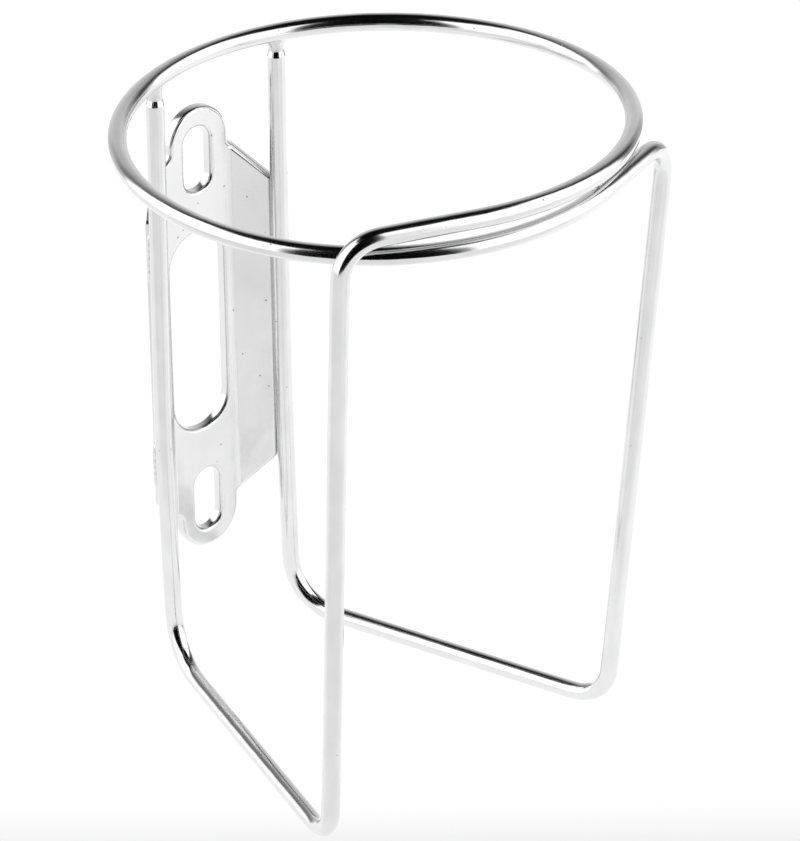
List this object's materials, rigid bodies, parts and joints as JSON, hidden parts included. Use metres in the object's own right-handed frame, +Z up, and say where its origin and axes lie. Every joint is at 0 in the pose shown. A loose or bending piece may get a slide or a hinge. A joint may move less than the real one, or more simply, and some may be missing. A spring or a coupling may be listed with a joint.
{
  "type": "water bottle cage",
  "caption": "Open basket of round polished steel wire with a retaining hoop and a slotted back bracket, holds a drinks bottle on a bicycle frame",
  "frame": {"origin": "on the plane that the two bottom rails stand on, under the middle of the bounding box", "axes": "+Z up along the bottle, +Y towards the bicycle frame and the bracket, -Y towards the front strands of the hoop, +X to the right seen from the front"},
  "size_m": [0.083, 0.0877, 0.1139],
  "materials": {
    "wire": "polished",
    "bracket": "satin polished",
    "weld": "smooth weld metal"
  },
  "bodies": {
    "root": {"hoop": "wire", "front_leg_left": "wire", "front_leg_right": "wire", "bottom_rail_left": "wire", "bottom_rail_right": "wire", "back_leg_left": "wire", "back_leg_right": "wire", "mounting_bracket": "bracket", "hoop_lap_weld": "weld", "end_weld_left": "weld", "end_weld_right": "weld", "flange_weld_left_upper": "weld", "flange_weld_left_lower": "weld", "flange_weld_right_upper": "weld", "flange_weld_right_lower": "weld"}
  },
  "joints": []
}
